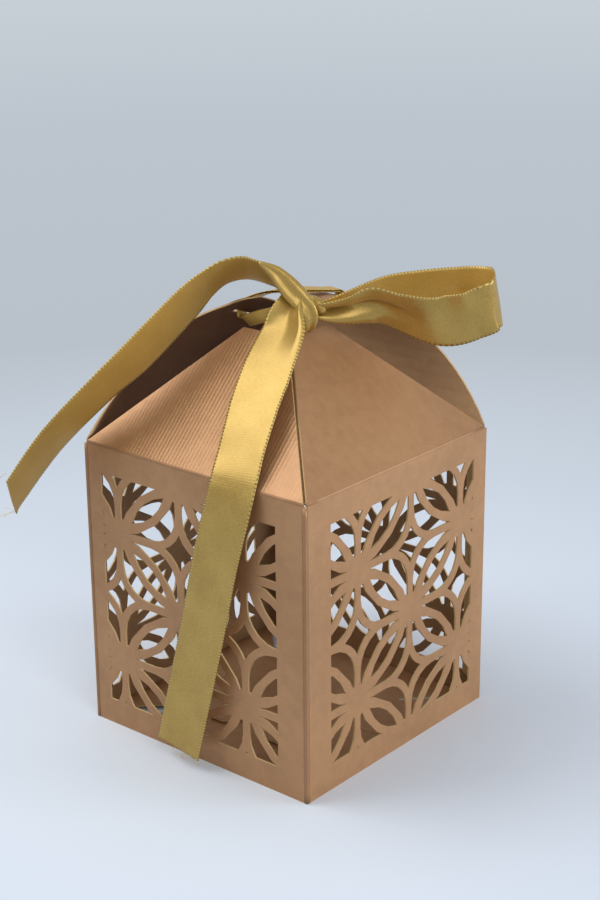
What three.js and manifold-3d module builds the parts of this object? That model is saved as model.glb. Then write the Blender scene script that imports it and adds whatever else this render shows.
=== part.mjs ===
// A laser-cut card favour box with a folded roof, tied at the top with a satin ribbon.
// Millimetres, +Z up. The origin is the middle of the square base, on the floor.
// The front wall faces -Y and the right wall faces +X.
import * as THREE from 'three'
import { mergeVertices } from 'three/addons/utils/BufferGeometryUtils.js'
import Module from 'manifold-3d'

const wasm = await Module()
wasm.setup()

// Sleeve of four walls
const boxSide = 60
const wallHeight = 64
const card = 0.4
const cornerGap = 0.05
const creaseGap = 0.3

// Cut window in each wall, and the lattice that fills it
const topRail = 6
const bottomRail = 5.7
const wideStile = 7.6
const narrowStile = 4.4
const pitchAcross = 17.4
const pitchUp = 14.4
const hubFromWideStile = 8.6
const hubRowHeight = 31
const hubRadius = 3.6
const barWidth = 1.7
const turnRadius = 8
const petalBulge = 3.4
const eyeLength = 12.6
const eyeBulge = 1.6

// Glued tab down the seam between the right wall and the back wall
const seamTabWidth = 3.8
const seamTabInset = 3
const seamTabChamfer = 2.5

// Roof flaps. The front and right ones lie flat, the left and back ones bow outwards.
// Slopes are in degrees above the level inward direction.
const roofPitch = 45
const flatFlapStop = 6.3
const hipGap = 0.4
const tongueStop = 4
const tongueHalfWidth = 6
const leftLean = 81
const leftTipSlope = 16
const backLean = 105
const backTipSlope = -11
const slotLength = 8.5
const slotWidth = 3.2
const slotFromCrease = 32.5

// Bottom flaps. The long ones meet edge to edge, and the dust flaps lie on top of them.
const bottomMeetsAt = -8
const bottomMeetGap = 0.6
const bottomCornerTrim = 1.3
const bottomChamfer = 11.5
const dustFlapsApart = 6.6
const dustSideGap = 2.3
const dustChamfer = 11
const dustCornerTrim = 2.5
const tuckSlitLength = 8
const tuckSlitWidth = 0.5
const tuckSlitFromCrease = 4

// Ribbon: one strip of satin, gathered where it is tied
const ribbonWidth = 11.5
const ribbonThick = 0.6
const gatheredWidth = 3.2
const gatheredThick = 0.7
const rolledWidth = 4.6
const rolledThick = 2
const knotRadii = [3.3, 3.3, 3.6]
const knotCentre = [4.6, -1, 4.5]
const hangStart = [12.9, 2.7, 3]
const hemEnd = [-2, 3.9, 2.8]

// Degrees of turn for each facet of an arc
const arcStep = 18

const halfSide = boxSide / 2
const reach = halfSide - card / 2
const inner = halfSide - card - creaseGap
const radians = THREE.MathUtils.degToRad
const degrees = THREE.MathUtils.radToDeg
const roofTop = wallHeight + (reach - flatFlapStop) * Math.tan(radians(roofPitch))

const box = new THREE.Group()
const sides = { front: sideGroup(0), right: sideGroup(1), back: sideGroup(2), left: sideGroup(3) }
const tie = new THREE.Group()
tie.position.z = roofTop
box.add(tie)

// A group turned so that its own -Y side is the given side of the box.
function sideGroup(quarterTurns) {
  const group = new THREE.Group()
  group.rotation.z = quarterTurns * Math.PI / 2
  box.add(group)
  return group
}

function cardFinish() {
  return new THREE.MeshStandardMaterial({ color: 0xa97d5f, roughness: 0.42, metalness: 0.35 })
}

function satinFinish() {
  return new THREE.MeshStandardMaterial({ color: 0xb8944d, roughness: 0.35, metalness: 0.2 })
}

function addMesh(name, parent, geometry, material) {
  const mesh = new THREE.Mesh(geometry, material)
  mesh.name = name
  parent.add(mesh)
  return mesh
}

function toSolid(geometry) {
  const bare = geometry.clone()
  bare.deleteAttribute('normal')
  bare.deleteAttribute('uv')
  const merged = mergeVertices(bare, 1e-5)
  return new wasm.Manifold(new wasm.Mesh({
    numProp: 3,
    vertProperties: new Float32Array(merged.attributes.position.array),
    triVerts: new Uint32Array(merged.index.array),
  }))
}

function toGeometry(solid) {
  const mesh = solid.getMesh()
  const geometry = new THREE.BufferGeometry()
  geometry.setAttribute('position', new THREE.BufferAttribute(mesh.vertProperties, 3))
  geometry.setIndex(new THREE.BufferAttribute(mesh.triVerts, 1))
  geometry.computeVertexNormals()
  return geometry
}

// A flat piece drawn across and up, lying on the XY plane.
function blank(points, thick) {
  const shape = new THREE.Shape(points.map(([x, y]) => new THREE.Vector2(x, y)))
  return new THREE.ExtrudeGeometry(shape, { depth: thick, bevelEnabled: false })
}

function arc(cx, cy, radius, fromDegrees, toDegrees) {
  const steps = Math.max(2, Math.ceil(Math.abs(toDegrees - fromDegrees) / arcStep))
  const points = []
  for (let i = 0; i <= steps; i += 1) {
    const turn = radians(fromDegrees + (toDegrees - fromDegrees) * i / steps)
    points.push([cx + radius * Math.cos(turn), cy + radius * Math.sin(turn)])
  }
  return points
}

// A pointed oval from tip to tip, each side standing off the chord by bulge.
function pointedOval([ax, ay], [bx, by], bulge) {
  const chord = Math.hypot(bx - ax, by - ay)
  const radius = (chord * chord / 4 + bulge * bulge) / (2 * bulge)
  const half = degrees(Math.asin(chord / 2 / radius))
  const along = degrees(Math.atan2(by - ay, bx - ax))
  const points = []
  for (const middle of [along - 90, along + 90]) {
    const cx = (ax + bx) / 2 - (radius - bulge) * Math.cos(radians(middle))
    const cy = (ay + by) / 2 - (radius - bulge) * Math.sin(radians(middle))
    points.push(...arc(cx, cy, radius, middle - half, middle + half).slice(0, -1))
  }
  return points
}

// One lattice cell, hubs at its lower left and upper right: what is inside its bars,
// rounded at the two corners without a hub, and the petal with its eye between the hubs.
function cellOutlines() {
  const bar = barWidth / 2
  const farHub = [pitchAcross, pitchUp]
  const inside = [
    [bar, bar],
    ...arc(pitchAcross - turnRadius, turnRadius, turnRadius - bar, -90, 0),
    [pitchAcross - bar, pitchUp - bar],
    ...arc(turnRadius, pitchUp - turnRadius, turnRadius - bar, 90, 180),
  ]
  const petal = pointedOval([0, 0], farHub, petalBulge)
  const share = eyeLength / Math.hypot(pitchAcross, pitchUp)
  const tip = (way) => farHub.map((far) => far / 2 * (1 + way * share))
  const eye = pointedOval(tip(-1), tip(1), eyeBulge)
  return { inside, petal, eye }
}

// The four-pointed opening round a crossing that has no hub.
function starOutline() {
  const radius = turnRadius + barWidth / 2
  const tip = degrees(Math.acos(turnRadius / radius))
  const points = []
  for (let quarter = 0; quarter < 4; quarter += 1) {
    const facing = 45 + 90 * quarter
    const cx = turnRadius * Math.SQRT2 * Math.cos(radians(facing))
    const cy = turnRadius * Math.SQRT2 * Math.sin(radians(facing))
    const start = facing + 180 + 45 - tip
    const end = facing + 180 - 45 + tip
    points.push(...arc(cx, cy, radius, start, end).slice(0, -1))
  }
  return points
}

// Everything that the laser takes out of a wall. way is 1 where the wide stile is at +X.
function latticeOpenings(way) {
  const cut = 3 * card
  const { inside, petal, eye } = cellOutlines()
  const star = starOutline()
  const hub = arc(0, 0, hubRadius, 0, 360).slice(0, -1)
  const windowWidth = boxSide - wideStile - narrowStile
  const windowTop = wallHeight - topRail
  const place = (outline, column, row, mirrored) => {
    const moved = outline.map(([x, y]) => [
      way * (halfSide - wideStile - hubFromWideStile - column * pitchAcross - (mirrored ? pitchAcross - x : x)),
      hubRowHeight + row * pitchUp + y,
    ])
    return toSolid(blank(moved, cut))
  }
  const firstColumn = Math.floor(-hubFromWideStile / pitchAcross)
  const lastColumn = Math.ceil((windowWidth - hubFromWideStile) / pitchAcross)
  const firstRow = Math.floor((bottomRail - hubRowHeight) / pitchUp)
  const lastRow = Math.ceil((windowTop - hubRowHeight) / pitchUp)
  let openings = null
  let hubs = null
  for (let column = firstColumn; column <= lastColumn; column += 1) {
    for (let row = firstRow; row <= lastRow; row += 1) {
      const hasHub = (column + row) % 2 !== 0
      const leaves = place(inside, column, row, !hasHub)
        .subtract(place(petal, column, row, !hasHub))
        .add(place(eye, column, row, !hasHub))
      openings = openings ? openings.add(leaves) : leaves
      if (hasHub) {
        const disc = place(hub, column, row, false)
        hubs = hubs ? hubs.add(disc) : disc
      } else {
        openings = openings.add(place(star, column, row, false))
      }
    }
  }
  const edges = [halfSide - wideStile, narrowStile - halfSide]
  const window = toSolid(blank([
    [way * edges[0], bottomRail],
    [way * edges[0], windowTop],
    [way * edges[1], windowTop],
    [way * edges[1], bottomRail],
  ], cut))
  return openings.subtract(hubs).intersect(window).translate(0, 0, -card)
}

// A card drawn across and up is stood on its edge, its face on the outside of the sleeve.
function stand(geometry, insetFromFace) {
  geometry.rotateX(Math.PI / 2)
  geometry.translate(0, -(halfSide - card - insetFromFace), 0)
  return geometry
}

function addWall(name, side, way) {
  const top = wallHeight - creaseGap
  const plate = toSolid(blank([
    [-halfSide + card + cornerGap, 0],
    [halfSide, 0],
    [halfSide, top],
    [-halfSide + card + cornerGap, top],
  ], card))
  addMesh(name, side, stand(toGeometry(plate.subtract(latticeOpenings(way))), 0), cardFinish())
}

function addSeamTab() {
  const outer = -halfSide + card + cornerGap
  const free = outer + seamTabWidth
  const low = seamTabInset
  const high = wallHeight - seamTabInset
  const tab = blank([
    [outer, low],
    [free, low + seamTabChamfer],
    [free, high - seamTabChamfer],
    [outer, high],
  ], card)
  addMesh('side_seam_tab', sides.back, stand(tab, card + cornerGap), cardFinish())
}

// A closed solid through rings of points, each ring in the same order.
function loft(rings) {
  const count = rings[0].length
  const geometry = new THREE.BufferGeometry()
  geometry.setAttribute('position', new THREE.Float32BufferAttribute(rings.flat(2), 3))
  const faces = []
  for (let ring = 0; ring < rings.length - 1; ring += 1) {
    for (let i = 0; i < count; i += 1) {
      const a = ring * count + i
      const b = ring * count + (i + 1) % count
      faces.push(a, b, b + count, a, b + count, a + count)
    }
  }
  const last = (rings.length - 1) * count
  for (let i = 1; i < count - 1; i += 1) {
    faces.push(0, i + 1, i, last, last + i, last + i + 1)
  }
  geometry.setIndex(faces)
  geometry.computeVertexNormals()
  return geometry
}

// The curve of a roof flap from its crease, as run inwards, rise and slope at a length along it.
function flatProfile() {
  const slope = radians(roofPitch)
  const length = (reach - flatFlapStop) / Math.cos(slope)
  return { length, steps: 1, at: (s) => ({ run: s * Math.cos(slope), rise: s * Math.sin(slope), slope }) }
}

function bowedProfile(lean, tipSlope) {
  const start = radians(lean)
  const end = radians(tipSlope)
  const radius = (reach - tongueStop) / (Math.sin(start) - Math.sin(end))
  const at = (s) => {
    const slope = start - s / radius
    return {
      run: radius * (Math.sin(start) - Math.sin(slope)),
      rise: radius * (Math.cos(slope) - Math.cos(start)),
      slope,
    }
  }
  return { length: radius * (start - end), steps: 16, at }
}

// A flap narrows towards the tip and keeps clear of its neighbours at the hips.
function flapHalfWidth(s, run) {
  const taper = halfSide - creaseGap - s * Math.cos(radians(roofPitch))
  return Math.min(Math.max(taper, tongueHalfWidth), reach - run - hipGap)
}

function flapSolid(profile) {
  const rings = []
  for (let i = 0; i <= profile.steps; i += 1) {
    const s = creaseGap + (profile.length - creaseGap) * i / profile.steps
    const { run, rise, slope } = profile.at(s)
    const half = flapHalfWidth(s, run)
    const corner = (x, off) => [
      x,
      run - reach - off * Math.sin(slope),
      wallHeight + rise + off * Math.cos(slope),
    ]
    rings.push([
      corner(half, card / 2),
      corner(half, -card / 2),
      corner(-half, -card / 2),
      corner(-half, card / 2),
    ])
  }
  return loft(rings)
}

function slotPlace(profile) {
  const { run, rise, slope } = profile.at(slotFromCrease)
  return { y: run - reach, z: wallHeight + rise, slope }
}

function addFlatFlap(name, side) {
  addMesh(name, side, flapSolid(flatProfile()), cardFinish())
}

function addBowedFlap(name, side, profile) {
  const { y, z, slope } = slotPlace(profile)
  const slot = new THREE.BoxGeometry(slotLength, slotWidth, 5 * card)
  slot.rotateX(slope)
  slot.translate(0, y, z)
  const flap = toSolid(flapSolid(profile)).subtract(toSolid(slot))
  addMesh(name, side, toGeometry(flap), cardFinish())
}

function addBottomFlap(name, side, freeEdgeAt) {
  const base = -inner
  const baseHalf = inner - bottomCornerTrim
  const freeHalf = baseHalf - bottomChamfer
  addMesh(name, side, blank([
    [-baseHalf, base],
    [baseHalf, base],
    [freeHalf, base + bottomChamfer],
    [freeHalf, freeEdgeAt],
    [-freeHalf, freeEdgeAt],
    [-freeHalf, base + bottomChamfer],
  ], card), cardFinish())
}

function addDustFlap(name, side) {
  const base = -inner
  const free = -dustFlapsApart / 2
  const baseHalf = inner - dustSideGap
  const freeHalf = baseHalf - dustChamfer
  const slitStart = base + tuckSlitFromCrease
  const flap = toSolid(blank([
    [-baseHalf, base],
    [baseHalf, base],
    [freeHalf, base + dustChamfer],
    [freeHalf, free - dustCornerTrim],
    [freeHalf - dustCornerTrim, free],
    [dustCornerTrim - freeHalf, free],
    [-freeHalf, free - dustCornerTrim],
    [-freeHalf, base + dustChamfer],
  ], card))
  const slit = new THREE.BoxGeometry(tuckSlitWidth, tuckSlitLength, 4 * card)
  slit.translate(0, slitStart + tuckSlitLength / 2, 0)
  const mesh = addMesh(name, side, toGeometry(flap.subtract(toSolid(slit))), cardFinish())
  mesh.position.z = card + creaseGap
}

// A strip of ribbon through stations [centre, direction across the strip, width, thickness].
function ribbonStrip(stations, stepsBetween) {
  const centres = new THREE.CatmullRomCurve3(stations.map(([centre]) => new THREE.Vector3(...centre)))
  const acrosses = new THREE.CatmullRomCurve3(stations.map(([, across]) => new THREE.Vector3(...across)))
  const spans = stations.length - 1
  const total = spans * stepsBetween
  const rings = []
  for (let i = 0; i <= total; i += 1) {
    const t = i / total
    const span = Math.min(Math.floor(t * spans), spans - 1)
    const part = t * spans - span
    const width = THREE.MathUtils.lerp(stations[span][2], stations[span + 1][2], part)
    const thick = THREE.MathUtils.lerp(stations[span][3], stations[span + 1][3], part)
    const along = centres.getTangent(t)
    const across = acrosses.getPoint(t).projectOnPlane(along).normalize()
    const off = new THREE.Vector3().crossVectors(along, across)
    const corner = (w, h) => centres.getPoint(t)
      .addScaledVector(across, w * width / 2)
      .addScaledVector(off, h * thick / 2)
      .toArray()
    rings.push([corner(1, 1), corner(-1, 1), corner(-1, -1), corner(1, -1)])
  }
  return loft(rings)
}

const wide = (centre, across, width = ribbonWidth) => [centre, across, width, ribbonThick]
const gathered = (centre, across) => [centre, across, gatheredWidth, gatheredThick]

// The gathered ribbon under the knot: out through the left slot and back over that tongue,
// then over the back tongue, in through its slot and forward to the knot.
function addCollar(leftProfile, backProfile) {
  const left = slotPlace(leftProfile)
  const back = slotPlace(backProfile)
  const leftSlot = [left.y, 0, left.z - roofTop]
  const backSlot = [0, -back.y, back.z - roofTop]
  const by = ([x, y, z], [dx, dy, dz]) => [x + dx, y + dy, z + dz]
  addMesh('ribbon_collar', tie, ribbonStrip([
    gathered([1.3, -2.7, 3.7], [0, 0.3, -1]),
    gathered([-3, -4.2, 2.4], [-0.1, 0.3, -0.95]),
    gathered([-7.4, -3.6, 1.1], [0, 0.6, -0.8]),
    gathered(by(leftSlot, [1.5, -1.2, -1.2]), [0, 1, -0.1]),
    gathered(by(leftSlot, [0, -0.4, 0.1]), [0, 1, -0.1]),
    gathered(by(leftSlot, [-0.6, 0.6, 1.8]), [0, 1, -0.1]),
    gathered(by(leftSlot, [1.6, 1.6, 3]), [0, 1, -0.1]),
    gathered([-6.3, 2.4, 6.3], [-0.1, 1, 0]),
    gathered([-2.6, 3.9, 6.7], [-0.6, 0.8, 0]),
    gathered([-0.6, 8, 5.9], [-1, 0.2, 0]),
    gathered(by(backSlot, [0.2, -3.6, 2.2]), [-1, 0, 0]),
    gathered(by(backSlot, [0.5, -0.2, 1.5]), [-1, 0, 0]),
    gathered(by(backSlot, [0.7, 0.6, -0.1]), [-1, 0, 0]),
    gathered(by(backSlot, [1.3, -1.6, -1.3]), [-0.95, -0.1, 0]),
    gathered(by(backSlot, [4, -8, -1.7]), [-0.6, -0.3, -0.7]),
    gathered([6.2, 4, 2.9], [0, 0.2, -0.95]),
  ], 3), satinFinish())
}

function addKnot() {
  const knot = new THREE.SphereGeometry(1, 16, 10)
  knot.scale(...knotRadii)
  knot.translate(...knotCentre)
  addMesh('ribbon_knot', tie, knot, satinFinish())
}

// The tail that arches off the top of the knot and hangs past the front left corner.
function addLeftTail() {
  addMesh('ribbon_left_tail', tie, ribbonStrip([
    [[2, -1.5, 8.3], [-0.34, 0.67, -0.66], rolledWidth, rolledThick],
    [[-2.2, -1.6, 10.2], [-0.54, 0.55, -0.63], rolledWidth + 3, rolledThick / 2],
    wide([-6.4, -4.4, 11.9], [-0.54, 0.61, -0.59]),
    wide([-9.2, -8.5, 11.5], [-0.53, 0.55, -0.64]),
    wide([-11.6, -11.6, 9.1], [-0.38, 0.69, -0.62]),
    wide([-13.7, -15.3, 5.4], [-0.25, 0.72, -0.65]),
    wide([-18.5, -24.5, -3.8], [-0.2, 0.74, -0.65]),
    wide([-23.1, -31.2, -10.6], [-0.29, 0.75, -0.6]),
    wide([-30.7, -38.4, -21.3], [-0.34, 0.73, -0.59]),
    wide([-37.2, -45.4, -34.1], [-0.39, 0.69, -0.61]),
  ], 3), satinFinish())
}

// The tail that runs down the front slope of the roof, over the eave and down the front wall.
function addFrontTail() {
  const [startX, startOff, startDrop] = hangStart
  const [endX, endOff, endLift] = hemEnd
  const hang = (part) => wide([
    THREE.MathUtils.lerp(startX, endX, part),
    -halfSide - THREE.MathUtils.lerp(startOff, endOff, part),
    THREE.MathUtils.lerp(wallHeight - startDrop, endLift, part) - roofTop,
  ], [0.98, -0.03, -0.19])
  addMesh('ribbon_front_tail', tie, ribbonStrip([
    wide([5.2, -4.8, 7], [0.93, 0.37, 0], rolledWidth),
    wide([5.5, -6.8, 4.3], [0.99, -0.06, 0.09], ribbonWidth - 2),
    wide([7.5, -9.2, 1.6], [1, 0.03, -0.05]),
    wide([7.8, -13.9, -3.3], [0.99, 0.11, -0.03]),
    wide([8.5, -18.8, -8.9], [1, 0.09, 0.03]),
    wide([10.3, 6.6 - halfSide, wallHeight + 10.4 - roofTop], [1, 0, 0.08]),
    wide([12.9, 0.4 - halfSide, wallHeight + 4.6 - roofTop], [1, -0.02, 0.04]),
    hang(0),
    hang(0.5),
    hang(1),
  ], 3), satinFinish())
}

// The bow's one loop: out above the back right corner, round its end and back to the knot.
function addLoop() {
  addMesh('ribbon_loop', tie, ribbonStrip([
    wide([8.7, 1.6, 3.2], [-0.06, 0.32, -0.95], rolledWidth),
    wide([10.1, 5.9, 3.3], [-0.13, 0.32, -0.94], ribbonWidth - 3),
    wide([13.2, 15.5, 3.7], [-0.04, 0.15, -0.99]),
    wide([18.6, 22.3, 4.7], [-0.07, 0.17, -0.98]),
    wide([25.3, 27.4, 5.4], [-0.05, 0.11, -0.99]),
    wide([31.2, 27.6, 6], [0.02, 0.04, -1]),
    wide([35.5, 24.7, 6.7], [0.13, 0.12, -0.98]),
    wide([36.9, 20.8, 5.9], [-0.11, 0.15, -0.98]),
    wide([33.7, 18.3, 3.9], [-0.21, 0.27, -0.94]),
    wide([29, 16.1, 2.5], [-0.07, 0.23, -0.97]),
    wide([25.5, 13.7, 2.8], [-0.11, 0.42, -0.9]),
    wide([20.9, 10.5, 4.3], [-0.13, 0.57, -0.81]),
    wide([16.9, 7.8, 5.4], [-0.1, 0.57, -0.82], ribbonWidth - 1),
    wide([13.2, 4.6, 4.5], [-0.21, 0.47, -0.86], ribbonWidth - 3),
    wide([8.6, -0.8, 4.7], [-0.15, 0.25, -0.95], rolledWidth),
  ], 2), satinFinish())
}

const leftProfile = bowedProfile(leftLean, leftTipSlope)
const backProfile = bowedProfile(backLean, backTipSlope)

addWall('front_wall', sides.front, 1)
addWall('right_wall', sides.right, -1)
addWall('back_wall', sides.back, 1)
addWall('left_wall', sides.left, -1)
addSeamTab()

addFlatFlap('front_roof_flap', sides.front)
addFlatFlap('right_roof_flap', sides.right)
addBowedFlap('back_roof_flap', sides.back, backProfile)
addBowedFlap('left_roof_flap', sides.left, leftProfile)

addBottomFlap('front_bottom_flap', sides.front, bottomMeetsAt - bottomMeetGap / 2)
addBottomFlap('back_bottom_flap', sides.back, -bottomMeetsAt - bottomMeetGap / 2)
addDustFlap('left_dust_flap', sides.left)
addDustFlap('right_dust_flap', sides.right)

addCollar(leftProfile, backProfile)
addKnot()
addLeftTail()
addFrontTail()
addLoop()

export default box
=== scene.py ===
import math
import bmesh
import bpy
from mathutils import Matrix, Vector


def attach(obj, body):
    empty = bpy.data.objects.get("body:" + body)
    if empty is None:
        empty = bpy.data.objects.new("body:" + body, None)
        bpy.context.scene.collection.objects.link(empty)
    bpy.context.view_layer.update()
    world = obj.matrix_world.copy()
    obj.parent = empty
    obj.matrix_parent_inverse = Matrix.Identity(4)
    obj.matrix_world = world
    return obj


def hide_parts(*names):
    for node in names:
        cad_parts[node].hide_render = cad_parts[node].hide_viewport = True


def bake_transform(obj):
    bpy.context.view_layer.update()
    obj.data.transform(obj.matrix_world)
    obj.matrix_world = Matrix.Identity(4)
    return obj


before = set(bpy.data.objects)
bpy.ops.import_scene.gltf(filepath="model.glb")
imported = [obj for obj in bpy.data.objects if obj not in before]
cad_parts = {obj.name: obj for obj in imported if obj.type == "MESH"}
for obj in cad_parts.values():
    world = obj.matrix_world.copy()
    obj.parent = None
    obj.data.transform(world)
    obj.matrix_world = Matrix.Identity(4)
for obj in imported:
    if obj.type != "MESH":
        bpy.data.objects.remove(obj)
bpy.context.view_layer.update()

# The camera stands a little above the roof and looks down on the upright corner
# between the front wall and the right wall.
turn, tilt, roll = (math.radians(degrees) for degrees in (40.254, 19.588, -0.515))
aim = Vector((0, 0, 0.032))
camera_distance, camera_right, camera_up = 0.3955, 0.0024, 0.0267
back = Vector((math.sin(turn) * math.cos(tilt), -math.cos(turn) * math.cos(tilt), math.sin(tilt)))
level_right = Vector((math.cos(turn), math.sin(turn), 0))
level_up = back.cross(level_right)
right = math.cos(roll) * level_right + math.sin(roll) * level_up
up = math.cos(roll) * level_up - math.sin(roll) * level_right
stand = aim + back * camera_distance + right * camera_right + up * camera_up
camera = bpy.data.objects.new("camera", bpy.data.cameras.new("camera"))
camera.data.sensor_width = 36
camera.data.lens = 73.2
camera.data.clip_start = 0.01
camera.matrix_world = Matrix((
    (right.x, up.x, back.x, stand.x),
    (right.y, up.y, back.y, stand.y),
    (right.z, up.z, back.z, stand.z),
    (0, 0, 0, 1),
))
bpy.context.collection.objects.link(camera)
bpy.context.scene.camera = camera
bpy.context.scene.view_settings.view_transform = "Standard"

# A pale paper ground, whitest under the box and a cool grey further out: painted light that falls off with
# distance, which past the box's shadow the camera sees as a glow. One broad soft lamp high in front on the
# left, weaker ones round it, and the pale room.


class Wire:
    """A socket of a material. Sums on it add Math nodes."""

    def __init__(self, tree, socket=None):
        self.tree = tree
        self.socket = socket

    def node(self, kind, settings, inputs, output=0):
        made = self.tree.nodes.new("ShaderNode" + kind)
        for name, value in settings.items():
            if name == "stops":
                ramp = made.color_ramp.elements
                while len(ramp) < len(value):
                    ramp.new(0.5)
                for element, (place, color) in zip(ramp, value):
                    element.position = place
                    element.color = color
            else:
                setattr(made, name, value)
        for name, value in inputs.items():
            if isinstance(value, Wire):
                self.tree.links.new(value.socket, made.inputs[name])
            else:
                made.inputs[name].default_value = value
        return Wire(self.tree, made.outputs[output])

    def sum(self, operation, *values):
        return self.node("Math", {"operation": operation}, dict(enumerate(values)))

    def __add__(self, other):
        return self.sum("ADD", self, other)

    __radd__ = __add__

    def __sub__(self, other):
        return self.sum("SUBTRACT", self, other)

    def __rsub__(self, other):
        return self.sum("SUBTRACT", other, self)

    def __mul__(self, other):
        return self.sum("MULTIPLY", self, other)

    __rmul__ = __mul__

    def between(self, low, high):
        """0 at low, 1 at high, with a soft step from one to the other."""
        settings = {"interpolation_type": "SMOOTHSTEP"}
        return self.node("MapRange", settings, {0: self, 1: low, 2: high})

    def colors(self, low, high):
        """The first color where this is 0, the second where it is 1."""
        return self.node("Mix", {"data_type": "RGBA"}, {0: self, 6: low, 7: high}, 2)

    def sine(self, pitch):
        """A wave from -1 to 1 that repeats at each pitch."""
        return self.sum("SINE", self * (2 * math.pi / pitch))

    def along(self, direction):
        """How far this point or direction reaches along a direction."""
        return self.node("VectorMath", {"operation": "DOT_PRODUCT"}, {0: self, 1: tuple(direction)}, 1)

    def noise(self, place, scale, detail):
        """Cloudy noise over the places, from 0 to 1."""
        return self.node("TexNoise", {}, {"Vector": place, "Scale": scale, "Detail": detail}, "Fac")


def shader(name):
    """A bare material, and a wire to draw it with."""
    material = bpy.data.materials.new(name)
    material.use_nodes = True
    material.node_tree.nodes.clear()
    return material, Wire(material.node_tree)


def ends_in(material, surface):
    """The material, with this surface as its last node."""
    output = material.node_tree.nodes.new("ShaderNodeOutputMaterial")
    material.node_tree.links.new(surface.socket, output.inputs["Surface"])
    return material


def paint(red, green, blue):
    """A colour as it shows on a screen, as the linear one that sockets take."""
    screen_curve = 2.2
    return tuple(value ** screen_curve for value in (red, green, blue)) + (1,)


def set_down(shape, name, *materials):
    """The finished shape as an object in the scene, with its materials."""
    mesh = bpy.data.meshes.new(name)
    shape.to_mesh(mesh)
    shape.free()
    for material in materials:
        mesh.materials.append(material)
    piece = bpy.data.objects.new(name, mesh)
    bpy.context.collection.objects.link(piece)
    return piece


ground_radius = 4
# The tones paint the lamps' falloff on the ground: brightest under the box, greyer further out.
ground_falloff_tones = [
    (0.0, paint(0.84, 0.87, 0.91)),
    (0.06, paint(0.83, 0.87, 0.92)),
    (0.13, paint(0.78, 0.82, 0.865)),
    (0.21, paint(0.72, 0.75, 0.785)),
    (0.5, paint(0.73, 0.765, 0.8)),
    (1.0, paint(0.775, 0.805, 0.835)),
]
tones_per_metre, clouding = 0.7, 0.02
ground_glow = paint(0.6, 0.6, 0.6)
shadow_ends, paper_plain = 0.09, 0.24
paper, wire = shader("pale_paper")
place = wire.node("TexCoord", {}, {}, "Object")
far = wire.node("VectorMath", {"operation": "LENGTH"}, {0: place}, 1)
cloud = wire.noise(place, 9.0, 1.0)
tone = wire.node("ValToRGB", {"stops": ground_falloff_tones}, {
    "Fac": far * tones_per_metre + (cloud - 0.5) * clouding,
})
straight, glossy, through = (
    wire.node("LightPath", {}, {}, ray) for ray in ("Is Camera Ray", "Is Glossy Ray", "Is Transmission Ray")
)
seen = straight + glossy + through
lit = wire.node("BsdfDiffuse", {}, {"Color": seen.colors(ground_glow, tone)})
# Past the box's shadow, camera and glossy rays see the ground as a painted glow of its tone.
plain = wire.node("Emission", {}, {"Color": tone})
flattened = seen * far.between(shadow_ends, paper_plain)
ends_in(paper, wire.node("MixShader", {}, {0: flattened, 1: lit, 2: plain}))
ground = bmesh.new()
bmesh.ops.create_circle(ground, cap_ends=True, segments=64, radius=ground_radius)
set_down(ground, "paper_ground", paper)

room_strength = 0.5
lamps_meet = Vector((0, 0, 0.05))
world = bpy.data.worlds.new("pale_room")
world.use_nodes = True
world.node_tree.nodes["Background"].inputs["Color"].default_value = paint(0.97, 0.98, 1)
world.node_tree.nodes["Background"].inputs["Strength"].default_value = room_strength
bpy.context.scene.world = world
for name, toward, away, size, watts, color in (
    ("key_lamp", (-0.57, -0.37, 0.74), 0.58, 0.5, 2.3, (1, 0.98, 0.95)),
    ("right_lamp", (0.72, -0.45, 0.55), 0.8, 0.5, 1.9, (1, 0.99, 0.97)),
    ("back_lamp", (0.84, 0.5, 0.15), 0.75, 0.36, 2.6, (1, 1, 1)),
):
    lamp = bpy.data.objects.new(name, bpy.data.lights.new(name, "AREA"))
    lamp.data.energy = watts
    lamp.data.size = size
    lamp.data.color = color
    lamp.location = Vector(toward).normalized() * away + lamps_meet
    lamp.rotation_euler = Vector(toward).to_track_quat("Z", "Y").to_euler()
    bpy.context.collection.objects.link(lamp)

# The card blank: pearl bronze card, laser-cut and creased into four walls, four roof
# flaps and four bottom flaps. The cut edges show the paler core of the card.
pearl_dark, pearl_light = paint(0.665, 0.505, 0.365), paint(0.735, 0.565, 0.41)
# The fold strips are painted darker than the pearl: painted shade that dulls the highlight on their round
# bends.
fold_dark, fold_light = paint(0.6, 0.45, 0.32), paint(0.66, 0.5, 0.36)
card_core = paint(0.8, 0.68, 0.48)
plain_inner = (0.58, 0.45, 0.32)
inner_spread = 0.03
rib_pitch = 0.0009
facing_edge, facing_side = 0.3, 0.6


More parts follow.
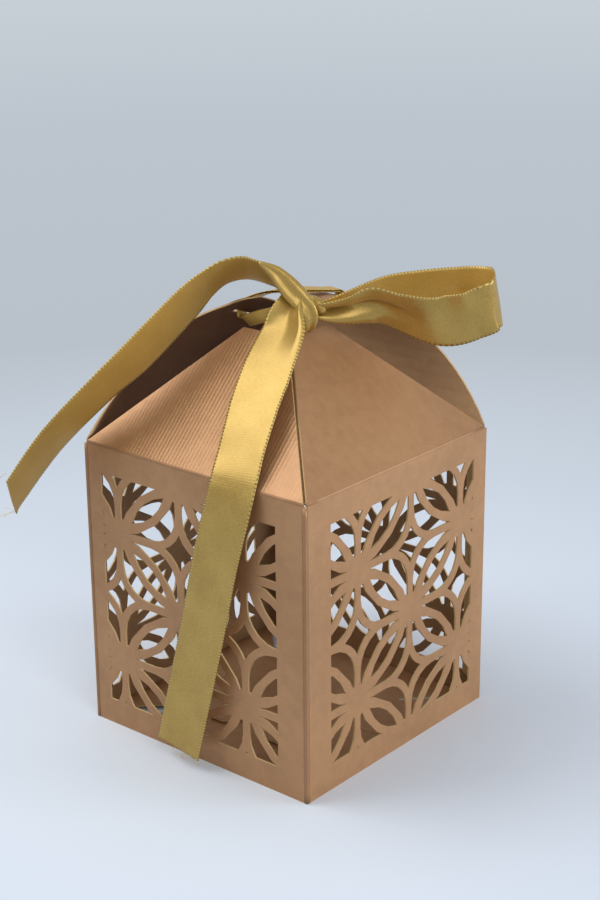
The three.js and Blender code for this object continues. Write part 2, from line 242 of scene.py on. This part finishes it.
def pearl_card(name, faces, inner=plain_inner, ribs=0.0, bent=False):
    """Pearl card: the way its good side faces, the tone of its other side, how far its ribs stand
    up, and whether it is the strip in a fold, which is less metallic, rougher and painted darker as shade, to
    dull the light its bend catches."""
    material, wire = shader(name)
    place = wire.node("TexCoord", {}, {}, "Object")
    cloud = wire.noise(place, 38.0, 3.0)
    grain = wire.noise(place, 420.0, 4.0)
    flake = wire.noise(place, 1900.0, 2.0)
    tone = (cloud * 0.5 + grain * 0.3 + flake * 0.2).between(0.34, 0.66)
    if bent:
        cut_edge, inside = 0.0, 0.4
        color = tone.colors(fold_dark, fold_light)
    else:
        square_on = wire.node("TexCoord", {}, {}, "Normal").along(faces)
        cut_edge = 1 - square_on.sum("ABSOLUTE", square_on).between(facing_edge, facing_side)
        inside = (0 - square_on).between(facing_edge, facing_side)
        pearl = tone.colors(pearl_dark, pearl_light)
        backing = tone.colors(
            paint(*(value - inner_spread for value in inner)),
            paint(*(value + inner_spread for value in inner)),
        )
        color = cut_edge.colors(inside.colors(pearl, backing), card_core)
    height = grain * 0.4 + flake * 0.25
    if ribs:
        across = Vector(faces).cross(Vector((0, 0, 1))).normalized()
        height = height + place.along(across).sine(rib_pitch) * ribs
    return ends_in(material, wire.node("BsdfPrincipled", {}, {
        "Base Color": color,
        "Metallic": (1 - cut_edge) * (1 - inside * 0.6) * 0.5,
        "Roughness": flake * 0.14 + 0.39 + inside * 0.12,
        "Normal": wire.node("Bump", {}, {"Strength": 0.3, "Distance": 0.00005, "Height": height}),
    }))


def dress(node, material):
    """The finish of a piece that keeps its own shape."""
    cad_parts[node].data.materials.clear()
    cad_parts[node].data.materials.append(material)


slope = math.sqrt(0.5)
# The other sides of the back and left roof flaps have their own tones. The back's is painted lighter as the
# light falling on it from the front, and the left's is painted dark as the shade inside the roof.
card_sides = {
    "front": ((0, -1, 0), (0, -slope, slope), plain_inner, 1.3),
    "right": ((1, 0, 0), (slope, 0, slope), plain_inner, 0.0),
    "back": ((0, 1, 0), (0, slope, slope), (0.8, 0.64, 0.48), 0.0),
    "left": ((-1, 0, 0), (-slope, 0, slope), (0.4, 0.27, 0.18), 0.0),
}
wall_cards = {}
roof_cards = {}
for side, (wall_faces, roof_faces, roof_inner, ribs) in card_sides.items():
    wall_cards[side] = pearl_card(side + "_wall_card", wall_faces)
    roof_cards[side] = pearl_card(side + "_roof_card", roof_faces, roof_inner, ribs)
    dress(side + "_wall", wall_cards[side])
    dress(side + "_roof_flap", roof_cards[side])
dress("side_seam_tab", wall_cards["right"])

# The upright creases between the walls. The card bends round in them, so a thin skin of
# pearl wraps each corner. The fourth corner is the glued seam and has none.
fold_card = pearl_card("crease_card", (1, 0, 0), bent=True)
mm = 0.001
wall_top = 63.5


def drawn_out(shape, edges, moves):
    """Pulls edges out into a strip, move by move, and gives back its last row of points."""
    for move in moves:
        grown = bmesh.ops.extrude_edge_only(shape, edges=edges)["geom"]
        row = [item for item in grown if isinstance(item, bmesh.types.BMVert)]
        edges = [item for item in grown if isinstance(item, bmesh.types.BMEdge)
                 and all(v in row for v in item.verts)]
        bmesh.ops.translate(shape, vec=move, verts=row)
    return row


def in_metres(shape, smooth=True):
    """Turns a shape drawn in millimetres to metres, with its faces outward."""
    bmesh.ops.scale(shape, vec=(mm, mm, mm), verts=shape.verts)
    bmesh.ops.recalc_face_normals(shape, faces=shape.faces)
    for face in shape.faces:
        face.smooth = smooth


def thicken(piece, thickness, offset=0):
    """Gives a sheet its thickness, in millimetres."""
    layer = piece.modifiers.new("thickness", "SOLIDIFY")
    layer.thickness = thickness * mm
    layer.offset = offset
    return layer


def fold_strip(name, line, run, steps, quarter, thickness, offset=0):
    """A fold of card: the line across it, drawn out along its run and turned to its side."""
    fold = bmesh.new()
    points = [fold.verts.new(point) for point in line]
    edges = [fold.edges.new(pair) for pair in zip(points, points[1:])]
    drawn_out(fold, edges, [Vector(run) / steps] * steps)
    bmesh.ops.rotate(fold, matrix=Matrix.Rotation(quarter * math.pi / 2, 3, "Z"), verts=fold.verts)
    in_metres(fold)
    piece = set_down(fold, name, fold_card)
    thicken(piece, thickness, offset)
    return piece


corner_line = [(29.2, -30.03), (29.6, -30.04), (29.9, -30.05), (30.0, -30.035), (30.035, -30.0),
               (30.05, -29.9), (30.04, -29.6), (30.03, -29.2)]
corner_foot = 0.05
for corner, quarter in (("front_right", 0), ("back_left", 2), ("front_left", 3)):
    line = [(out, along, corner_foot) for out, along in corner_line]
    corner_fold = fold_strip(corner + "_corner_fold", line, run=(0, 0, wall_top), steps=32,
                             quarter=quarter, thickness=0.03, offset=1)
    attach(corner_fold, "sleeve")

# The creases between the walls and the roof flaps: narrow rounded strips of card. Each is drawn by how far
# out and up its points lie.
fold_half = 29.4
wall_crease = [(29.8, 63.55), (29.8, 63.8)]
roof_folds = {
    "front": [(29.74, 64.02), (29.6, 64.2), (29.4, 64.4)],
    "right": [(29.74, 64.02), (29.6, 64.2), (29.4, 64.4)],
    "back": [(29.82, 64.0), (29.87, 64.2), (29.93, 64.45)],
    "left": [(29.79, 64.0), (29.77, 64.2), (29.73, 64.45)],
}
crease_out = 29.8
for quarter, (side, rim) in enumerate(roof_folds.items()):
    line = [(-fold_half, -out, height) for out, height in wall_crease + rim]
    fold = fold_strip(side + "_roof_fold", line, run=(2 * fold_half, 0, 0), steps=12,
                      quarter=quarter, thickness=0.38)
    side + "_roof"
    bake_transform(fold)

# Where the front and right flaps meet, the back layer of the card has been pressed out past
# the cut in two narrow lips, which shut the gap from below.
lip_line = [(29.31, -28.8, 63.92), (29.31, -29.29, 63.92)]
lip_rise, lip_steps, lip_thickness = 23.3, 24, 0.1
for side in ("right", "front"):
    lip = bmesh.new()
    edge = lip.edges.new([lip.verts.new(point) for point in lip_line])
    drawn_out(lip, [edge], [Vector((-lip_rise, lip_rise, lip_rise)) / lip_steps] * lip_steps)
    if side == "front":
        for vert in lip.verts:
            vert.co.x, vert.co.y = -vert.co.y, -vert.co.x
    in_metres(lip, smooth=False)
    hip_lip = set_down(lip, side + "_hip_lip", fold_card)
    thicken(hip_lip, lip_thickness)
    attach(hip_lip, side + "_roof")

# The left flap bows up and inwards more than the others. The ribbon fills the narrow slit in
# its tongue and pulls it askew.
lean, tip_slope, twist = (math.radians(degrees) for degrees in (81, 16, 23))
tongue_reach = 25.8
crease_height = 64
card_thickness = 0.4
foot_gap = 0.3
tongue_half = 6
foot_half = 29.7
slit_middle, slit_width, slit_half = 32.5, 1.0, 0.5
twist_from, twist_over, twist_pivot = 12, 18, 0.6
rows_to_slit, rows_past_slit, columns_beside, columns_in_slit = 32, 9, 5, 16
bow_radius = tongue_reach / (math.sin(lean) - math.sin(tip_slope))
bow_length = bow_radius * (lean - tip_slope)
slit_foot, slit_head = slit_middle - slit_width / 2, slit_middle + slit_width / 2
rows = [foot_gap + (slit_foot - foot_gap) * i / rows_to_slit for i in range(rows_to_slit + 1)]
rows += [slit_head + (bow_length - slit_head) * i / rows_past_slit for i in range(rows_past_slit + 1)]
beside = [slit_half + (1 - slit_half) * i / columns_beside for i in range(1, columns_beside + 1)]
columns = [-share for share in reversed(beside)]
columns += [slit_half * (2 * i / columns_in_slit - 1) for i in range(columns_in_slit + 1)] + beside
left_flap = bmesh.new()
bmesh.ops.create_grid(left_flap, x_segments=len(columns) - 1, y_segments=len(rows) - 1, size=1)
in_slit = []
for vert in left_flap.verts:
    column = columns[round((vert.co.x + 1) / 2 * (len(columns) - 1))]
    row = rows[round((vert.co.y + 1) / 2 * (len(rows) - 1))]
    if row in (slit_foot, slit_head) and abs(column) <= slit_half:
        in_slit.append(vert)
    bend = lean - row / bow_radius
    run = bow_radius * (math.sin(lean) - math.sin(bend))
    rise = bow_radius * (math.cos(bend) - math.cos(lean))
    half = min(max(foot_half - row * slope, tongue_half), fold_half - run)
    eased = min(max((row - twist_from) / twist_over, 0), 1)
    turned = twist * eased * eased * (3 - 2 * eased)
    side = -column * half
    lifted = -(side + twist_pivot * half) * math.sin(turned)
    vert.co = (
        run - crease_out - lifted * math.sin(bend),
        side * math.cos(turned),
        crease_height + rise + lifted * math.cos(bend),
    )
bmesh.ops.delete(left_flap, context="FACES_ONLY",
                 geom=[face for face in left_flap.faces if all(vert in in_slit for vert in face.verts)])
bmesh.ops.delete(left_flap, context="EDGES", geom=[edge for edge in left_flap.edges if not edge.link_faces])
in_metres(left_flap)
left_flap_card = set_down(left_flap, "left_flap_card", roof_cards["left"])
thicken(left_flap_card, card_thickness)
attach(left_flap_card, "left_roof")
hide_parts("left_roof_flap")

# The bottom flaps are folded in under the box. The two wide ones lie on the ground edge
# to edge, and the two dust flaps lie on them.
floor_card = pearl_card("floor_card", (0, 0, 1))
for name in ("front_bottom_flap", "back_bottom_flap", "left_dust_flap", "right_dust_flap"):
    dress(name, floor_card)

# The ribbon is one length of gold satin, shiny on its face and duller on its back, woven
# with a beaded selvedge down both edges.
ribbon_width = 11.5
bead_pitch, bead_out, bead_in = 0.72, 0.1, 0.04
pick_pitch = 0.48
selvedge_inner, selvedge_outer = 5.3, 5.45
# Each bead of the selvedge is painted with a highlight on its top and shade between it and the next.
bead_shade_tone, bead_highlight_tone = paint(0.55, 0.44, 0.2), paint(0.88, 0.79, 0.5)


def satin(name, dark, light, metal, rough):
    """Satin between two tones of gold, with its beaded edges painted bright and dark bead by bead as
    highlight and shade.
    """
    material, wire = shader(name)
    weave = wire.node("UVMap", {"uv_map": "weave"}, {})
    across = weave.along((1, 0, 0))
    length = weave.along((0, 1, 0))
    edge = across.sum("ABSOLUTE", across).between(selvedge_inner, selvedge_outer)
    bead = length.sine(bead_pitch)
    thread = wire.noise(wire.node("Mapping", {}, {"Vector": weave, "Scale": (1.4, 4.0, 1.0)}), 1.0, 4.0)
    cloud = wire.noise(weave, 0.13, 2.0)
    gold = (thread * 0.6 + cloud * 0.4).between(0.3, 0.7).colors(dark, light)
    bead_light_and_shade = bead.between(-0.5, 0.5).colors(bead_shade_tone, bead_highlight_tone)
    height = length.sine(pick_pitch) * 0.12 + thread * 0.5 + edge * bead * 1.2
    return ends_in(material, wire.node("BsdfPrincipled", {}, {
        "Base Color": (edge * 0.5).colors(gold, bead_light_and_shade),
        "Metallic": metal,
        "Roughness": thread * 0.16 + rough,
        "Normal": wire.node("Bump", {}, {"Strength": 0.3, "Distance": 0.00008, "Height": height}),
    }))


satin_face = satin("satin_face", paint(0.66, 0.54, 0.28), paint(0.75, 0.63, 0.35), 0.5, 0.25)
satin_back = satin("satin_back", paint(0.76, 0.62, 0.31), paint(0.83, 0.69, 0.37), 0.35, 0.36)


def follow(stations, share):
    """The station at a share of the way from the first to the last, on a smooth curve."""
    place = share * (len(stations) - 1)
    index = min(int(place), len(stations) - 2)
    t = place - index
    before = stations[max(index - 1, 0)]
    after = stations[min(index + 2, len(stations) - 1)]
    found = []
    for a, b, c, d in zip(before, stations[index], stations[index + 1], after):
        found.append(0.5 * (2 * b + (c - a) * t + (2 * a - 5 * b + 4 * c - d) * t ** 2
                            + (3 * b - a - 3 * c + d) * t ** 3))
    return found


def satin_strip(name, stations, cuts=18, carve=None, outward=1, slant=0.0, thick=0.24, face_out=True):
    """Ribbon laid through its stations, in millimetres: centre, across, width, curl in degrees.

    carve shapes it across. slant is how much shorter its first edge is cut than its second, or,
    below 0, its second than its first."""
    plain = [[*centre, *Vector(across).normalized(), width, curl] for centre, across, width, curl in stations]
    path_steps, nearby = 300, 0.004
    path = [Vector(follow(plain, i / path_steps)[:3]) for i in range(path_steps + 1)]
    travelled = [0.0]
    for a, b in zip(path, path[1:]):
        travelled.append(travelled[-1] + (b - a).length)
    length = travelled[-1]

    def share_at(distance):
        i = 0
        while i < path_steps - 1 and travelled[i + 1] < distance:
            i += 1
        part = (distance - travelled[i]) / (travelled[i + 1] - travelled[i])
        return min((i + part) / path_steps, 1.0)

    def frame_at(distance):
        share = share_at(distance)
        now = follow(plain, share)
        ahead = Vector(follow(plain, min(share + nearby, 1.0))[:3])
        behind = Vector(follow(plain, max(share - nearby, 0.0))[:3])
        tangent = (ahead - behind).normalized()
        across = Vector(now[3:6])
        across = (across - across.dot(tangent) * tangent).normalized()
        return Vector(now[:3]), across, tangent.cross(across) * outward, now[6], now[7]

    rows = int(length / (bead_pitch / 2))
    strip = bmesh.new()
    bmesh.ops.create_grid(strip, x_segments=cuts, y_segments=rows, size=1)
    weave = strip.loops.layers.uv.new("weave")
    frames = {}
    where = {}
    for vert in strip.verts:
        s = vert.co.x
        row = round((vert.co.y + 1) / 2 * rows)
        shorter = slant * (1 - s) / 2 if slant > 0 else -slant * (1 + s) / 2
        distance = length * row / rows - shorter * max(0.0, row / rows - 0.5) * 2
        key = round(distance, 3)
        if key not in frames:
            frames[key] = frame_at(distance)
        centre, across, out, width, curl = frames[key]
        half_turn = math.radians(max(curl, 1.0)) / 2
        full = min(half_turn, math.pi / 2)
        radius = width / 2 / math.sin(full)
        reach = radius * math.sin(s * half_turn)
        lift = radius * (math.cos(s * half_turn) - math.cos(full))
        if abs(s) > 0.999:
            reach += math.copysign(bead_out if row % 2 else -bead_in, reach)
        if carve:
            reach, lift = carve(s, row / rows, width, reach, lift)
        where[vert] = (s * ribbon_width / 2, distance)
        vert.co = (centre + across * reach + out * lift) * mm
    for face in strip.faces:
        face.smooth = True
        for corner in face.loops:
            corner[weave].uv = where[corner.vert]
    if not face_out:
        bmesh.ops.reverse_faces(strip, faces=strip.faces)
    piece = set_down(strip, name, satin_face, satin_back)
    thicken(piece, thick).material_offset = 1
    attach(piece, "ribbon")
    return piece, length


# The collar is the part of the ribbon under the knot, folded in three along its length. It
# goes out through the left slot and back over that tongue, then over the back tongue, in
# through its slot and forward to the knot.
layer_gap, fold_roundness = 0.22, 0.97


def fold_in_three(s, along, width, reach, lift):
    layer = (s + 1) * 1.5
    wave = math.asin(math.cos(math.pi * layer) * fold_roundness) / (math.pi / 2)
    return -wave * width / 2, (layer - 1.5) * layer_gap


collar, collar_length = satin_strip("collar", [
    ((1.3, -2.7, 91.2), (0, 0.3, -1), 3.4, 0),
    ((-3, -4.2, 89.9), (-0.1, 0.3, -0.95), 3.3, 0),
    ((-7.4, -3.6, 88.2), (0, 0.6, -0.8), 3.2, 0),
    ((-10.4, -1.2, 87.8), (0, 1, -0.1), 3.2, 0),
    ((-11.9, -0.4, 88.6), (0, 1, -0.1), 3.2, 0),
    ((-12.4, 0.6, 90.0), (0, 1, -0.3), 3.2, 0),
    ((-10.2, 1.6, 91.6), (0, 1, -0.3), 3.2, 0),
    ((-6.3, 2.4, 93.2), (-0.1, 1, -0.2), 3.2, 0),
    ((-2.6, 3.9, 94.1), (-0.6, 0.8, 0), 3.2, 0),
    ((-0.6, 8, 93.5), (-1, 0.2, 0), 3.2, 0),
    ((0.2, 12.8, 92.6), (-1, 0, 0), 3.2, 0),
    ((0.5, 16.2, 91.9), (-1, 0, 0), 3.2, 0),
    ((0.7, 17, 90.3), (-1, 0, 0), 3.2, 0),
    ((1.3, 14.8, 89.1), (-0.95, -0.1, 0), 3.2, 0),
    ((4, 8.4, 88.7), (-0.6, -0.3, -0.7), 3.2, 0),
    ((6.2, 4, 90.4), (0, 0.2, -0.95), 3.3, 0),
], cuts=36, carve=fold_in_three, thick=0.16)
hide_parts("ribbon_collar")

# The left tail comes out from under the strand, arches over and hangs out past the left
# side, its back to the front, and ends in a slanting cut.
left_tail, left_tail_length = satin_strip("left_tail", [
    ((1.2, -1.9, 96.6), (-0.34, 0.67, -0.66), 4.6, 60),
    ((-2.2, -1.8, 97.9), (-0.54, 0.55, -0.63), 7.6, 40),
    ((-6.4, -4.4, 99.4), (-0.54, 0.61, -0.59), 11.2, 14),
    ((-9.2, -8.5, 99), (-0.53, 0.55, -0.64), 11.5, 8),
    ((-11.6, -11.6, 96.6), (-0.38, 0.69, -0.62), 11.5, 6),
    ((-13.7, -15.3, 92.9), (-0.25, 0.72, -0.65), 11.5, 6),
    ((-18.5, -24.5, 83.7), (-0.2, 0.74, -0.65), 11.5, 6),
    ((-23.1, -31.2, 76.9), (-0.29, 0.75, -0.6), 11.5, 6),
    ((-30.7, -38.4, 66.2), (-0.34, 0.73, -0.59), 11.5, 6),
    ((-36.4, -44.6, 54.9), (-0.39, 0.69, -0.61), 11.5, 6),
    ((-38.1, -46.6, 50.4), (-0.39, 0.69, -0.61), 11.5, 6),
], slant=8.2)
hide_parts("ribbon_left_tail")

# The front tail fans out from under the strand with its right half bent back into a hollow,
# comes down over the front of the roof and hangs off the eave in front of the wall.
hollow_depth, hollow_pull, hollow_length, hollow_from = 3.0, 1.6, 0.2, -0.1
edge_curl, curl_from = 1.9, 0.72


def fan_hollow(s, along, width, reach, lift):
    near_knot = max(0.0, 1 - along / hollow_length) ** 1.3
    bent_back = max(0.0, s - hollow_from) ** 1.4
    curled = max(0.0, (s - curl_from) / (1 - curl_from)) ** 1.5
    return (reach - hollow_pull * near_knot * bent_back,
            lift + near_knot * (edge_curl * curled - hollow_depth * bent_back))


front_tail, front_tail_length = satin_strip("front_tail", [
    ((4.4, -2.4, 94.5), (0.86, 0.1, -0.5), 5.4, 40),
    ((5.9, -5.9, 92.1), (0.96, -0.02, -0.22), 9.0, 24),
    ((7.3, -9.0, 89.1), (1, 0.03, -0.05), 11.5, 14),
    ((8.4, -14.6, 84.5), (0.99, 0.11, -0.03), 11.5, 8),
    ((9.6, -20.1, 79.2), (1, 0.09, 0.03), 11.5, 5),
    ((10.7, -24.0, 74.7), (1, 0.05, 0.06), 11.5, 2),
    ((11.5, -27.5, 69.6), (1, 0, 0.04), 11.5, 1),
    ((12.2, -30.4, 64.9), (0.99, -0.02, -0.07), 11.5, 2),
    ((11.9, -32.1, 59.5), (0.98, -0.03, -0.16), 11.5, 4),
    ((9.2, -33.1, 48), (0.98, -0.03, -0.19), 11.5, 5),
    ((5.45, -33.4, 31.9), (0.98, -0.03, -0.19), 11.5, 6),
    ((-2.1, -33.9, 2.4), (0.98, -0.03, -0.19), 11.5, 6),
], cuts=28, carve=fan_hollow, outward=-1, slant=-1.5, face_out=False)
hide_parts("ribbon_front_tail")

# The loop of the half bow runs out to the right over the right flap, turns at its far end
# and comes back over itself to the knot, where it is pinched to a valley.
valley_depth, valley_side, valley_spread, pinch_from = 4.8, 0.1, 0.36, 0.72
dent_depth, dent_side, dent_along = 0.35, -0.15, 0.36


def pinched_root(s, along, width, reach, lift):
    near_knot = max(0.0, (along - pinch_from) / (1 - pinch_from))
    valley = math.exp(-((s - valley_side) / valley_spread) ** 2)
    dent = math.exp(-((along - dent_along) / 0.015) ** 2 - ((s - dent_side) / 0.12) ** 2)
    return reach, lift - valley_depth * near_knot * valley + dent_depth * dent


loop, loop_length = satin_strip("loop", [
    ((8.0, 1.0, 91.8), (-0.06, 0.32, -0.95), 3.4, 40),
    ((10.1, 5.9, 92.1), (-0.13, 0.32, -0.94), 6.0, 40),
    ((13.2, 15.5, 92.4), (-0.04, 0.15, -0.99), 9.2, 20),
    ((18.6, 22.3, 92.6), (-0.07, 0.17, -0.98), 10.9, 6),
    ((25.3, 27.4, 92.9), (-0.05, 0.11, -0.99), 11.5, 4),
    ((31.2, 27.6, 93.5), (0.02, 0.04, -1), 11.5, 4),
    ((35.5, 24.7, 94.2), (0.13, 0.12, -0.98), 11.5, 4),
    ((36.9, 20.8, 93.4), (-0.11, 0.15, -0.98), 11.5, 4),
    ((33.7, 18.3, 91.4), (-0.21, 0.27, -0.94), 11.5, 4),
    ((29, 16.1, 90), (-0.07, 0.23, -0.97), 11.5, 4),
    ((25.5, 13.7, 90.3), (-0.11, 0.42, -0.9), 11.5, 6),
    ((20.9, 10.5, 91.8), (-0.13, 0.57, -0.81), 11.5, 8),
    ((16.9, 7.8, 92.9), (-0.1, 0.57, -0.82), 10.5, 14),
    ((13.2, 4.6, 92), (-0.21, 0.47, -0.86), 7.5, 20),
    ((9.4, 0.6, 91.9), (-0.15, 0.25, -0.95), 4.0, 20),
    ((6.4, -0.9, 92.2), (-0.15, 0.25, -0.95), 3.0, 20),
], carve=pinched_root, face_out=False)
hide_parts("ribbon_loop")

# The knot: a core of crushed ribbon, and over it the rolled strand that the left tail
# turns into, pulled down over the front. A short nub of the turn below stands out beside it.
core_middle, core_half = Vector((4.7, -0.8, 92)), Vector((3, 2.6, 3.1))
broad_folds, broad_depth, fine_folds, fine_depth = 6, 0.05, 13, 0.02
weave_across, weave_along = 400, 1000
core = bmesh.new()
bmesh.ops.create_icosphere(core, subdivisions=5, radius=1)
weave = core.loops.layers.uv.new("weave")
for vert in core.verts:
    angle = math.atan2(vert.co.z, vert.co.x)
    swell = 1 + broad_depth * math.sin(angle * broad_folds + vert.co.y * 2.5)
    swell += fine_depth * math.sin(angle * fine_folds)
    vert.co = (core_middle + vert.co * core_half * swell) * mm
for face in core.faces:
    face.smooth = True
    for corner in face.loops:
        corner[weave].uv = (corner.vert.co.x * weave_across, corner.vert.co.z * weave_along)
knot_core = set_down(core, "knot_core", satin_back)
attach(knot_core, "ribbon")
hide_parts("ribbon_knot")

roll_half, roll_turn, ridge_height, roll_flatness = 150, 50, 0.24, 0.74


def rolled(s, along, width, reach, lift):
    angle = math.radians(s * roll_half - roll_turn * max(0.0, 1 - along * 2))
    ridge = ridge_height * math.cos(s * 9 + along * 5) * min(1.0, along * 3)
    radius = width / 2 + ridge * 0.5
    return radius * math.sin(angle), radius * math.cos(angle) * roll_flatness + ridge


strand, strand_length = satin_strip("strand", [
    ((-1.6, -6.3, 101.8), (-0.42, -0.65, -0.63), 0.5, 300),
    ((-0.1, -5.5, 100.9), (-0.42, -0.65, -0.63), 1.7, 300),
    ((1.3, -4.6, 99.8), (-0.42, -0.65, -0.63), 2.8, 300),
    ((2.5, -4.0, 98.5), (-0.42, -0.65, -0.63), 3.6, 300),
    ((4.0, -3.5, 97.0), (-0.42, -0.65, -0.63), 4.2, 300),
    ((5.4, -3.1, 95.6), (-0.45, -0.65, -0.6), 4.3, 300),
    ((6.6, -2.8, 94.3), (-0.52, -0.66, -0.52), 4.1, 300),
    ((7.6, -2.4, 92.9), (-0.6, -0.67, -0.4), 3.7, 300),
    ((8.1, -2.2, 91.1), (-0.67, -0.67, -0.22), 3.3, 300),
    ((7.6, -2.2, 89.2), (-0.67, -0.67, 0), 2.4, 300),
    ((6.4, -1.4, 88.2), (-0.67, -0.67, 0.2), 1.4, 300),
], cuts=40, carve=rolled, outward=-1)

nub, nub_length = satin_strip("nub", [
    ((1.4, -0.9, 90.0), (-0.5, -0.3, -0.8), 1.6, 160),
    ((4.4, -0.2, 93.2), (-0.5, -0.3, -0.8), 1.6, 160),
    ((6.6, 0.2, 94.0), (-0.5, -0.3, -0.8), 1.8, 200),
    ((7.9, 0.5, 93.5), (-0.6, -0.3, -0.7), 2.2, 220),
    ((8.7, 0.7, 92.6), (-0.7, -0.3, -0.5), 2.1, 220),
    ((8.9, 0.9, 91.6), (-0.7, -0.3, -0.3), 1.2, 220),
], cuts=20, outward=-1)

# Both cut ends of the ribbon have begun to fray: a few single threads have come loose. Each
# starts at a point on the cut, leans out one way and turns off another.
thread_radius, thread_sides, thread_bends, thread_slack, thread_tip = 0.09, 6, 7, 1.3, 0.3
frays = {
    "left_tail": [
        ((-34.2, -47.8, 61.0), (-1.3, -1.1, -0.6), (-1.3, -1.1, -2.4)),
        ((-39.6, -41.7, 49.3), (-2.6, -2.2, -0.6), (-2.0, -1.7, -1.8)),
        ((-39.5, -41.9, 49.6), (-2.2, -1.8, -1.4), (-2.6, -2.2, 0.6)),
        ((-39.4, -42.2, 50.0), (-1.2, -1.0, -1.0), (-1.6, -1.3, -1.9)),
        ((-39.2, -42.7, 50.6), (-0.8, -0.9, -0.3), (-1.2, -0.9, 0.9)),
    ],
    "front_tail": [
        ((3.3, -34.1, 2.8), (-3.5, -0.4, -1.5), (-2.5, -0.4, 0.8)),
        ((2.0, -34.1, 3.0), (-3.0, -0.5, -1.3), (-3.0, -0.3, 0.3)),
        ((0.6, -34.1, 3.1), (-2.0, -0.3, -1.2), (-1.5, -0.5, -0.3)),
        ((3.5, -34.1, 2.8), (0.4, -0.3, -1.4), (1.4, -0.2, -0.2)),
        ((-2.4, -34.0, 3.4), (-0.8, -0.3, -1.2), (-1.0, -0.2, -0.2)),
    ],
}
loose_thread, wire = shader("loose_thread")
tone = wire.noise(wire.node("TexCoord", {}, {}, "Object"), 900.0, 2.0)
ends_in(loose_thread, wire.node("BsdfPrincipled", {}, {
    "Base Color": tone.between(0.35, 0.65).colors(paint(0.74, 0.64, 0.38), paint(0.9, 0.83, 0.62)),
    "Roughness": tone * 0.2 + 0.45,
}))
fringe = {}
for tail, threads in frays.items():
    fray = bmesh.new()
    for root, lean_out, turn_off in threads:
        ring = bmesh.ops.create_circle(fray, cap_ends=False, segments=thread_sides,
                                       radius=thread_radius)["verts"]
        bmesh.ops.translate(fray, vec=root, verts=ring)
        ring_edges = list({edge for vert in ring for edge in vert.link_edges})
        moves = [Vector(lean_out).lerp(Vector(turn_off), i / thread_bends) / thread_bends * thread_slack
                 for i in range(thread_bends)]
        tip = drawn_out(fray, ring_edges, moves)
        tip_middle = sum((vert.co for vert in tip), Vector()) / len(tip)
        bmesh.ops.scale(fray, vec=(thread_tip, thread_tip, thread_tip), verts=tip,
                        space=Matrix.Translation(-tip_middle))
    in_metres(fray)
    fringe[tail] = set_down(fray, tail + "_threads", loose_thread)
    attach(fringe[tail], "ribbon")

# All of these are stretches of the one ribbon. The last number is how much of a stretch's
# flat area its mesh shows, which is less where it is folded on itself or tucked in.
for piece, length, held, rests_on, share in (
    (left_tail, left_tail_length, "hung", ["strand"], 1),
    (front_tail, front_tail_length, "draped", ["front_roof_flap", "strand"], 1),
    (loop, loop_length, "hung", ["knot_core"], 1),
    (collar, collar_length, "gathered", ["left_roof_flap", "back_roof_flap", "knot_core"], 0.5),
    (strand, strand_length, "gathered", ["knot_core"], 0.9),
    (nub, nub_length, "folded", ["knot_core"], 0.34),
):
    flat = (ribbon_width * mm, length * mm)
    flat[0] * flat[1] * share
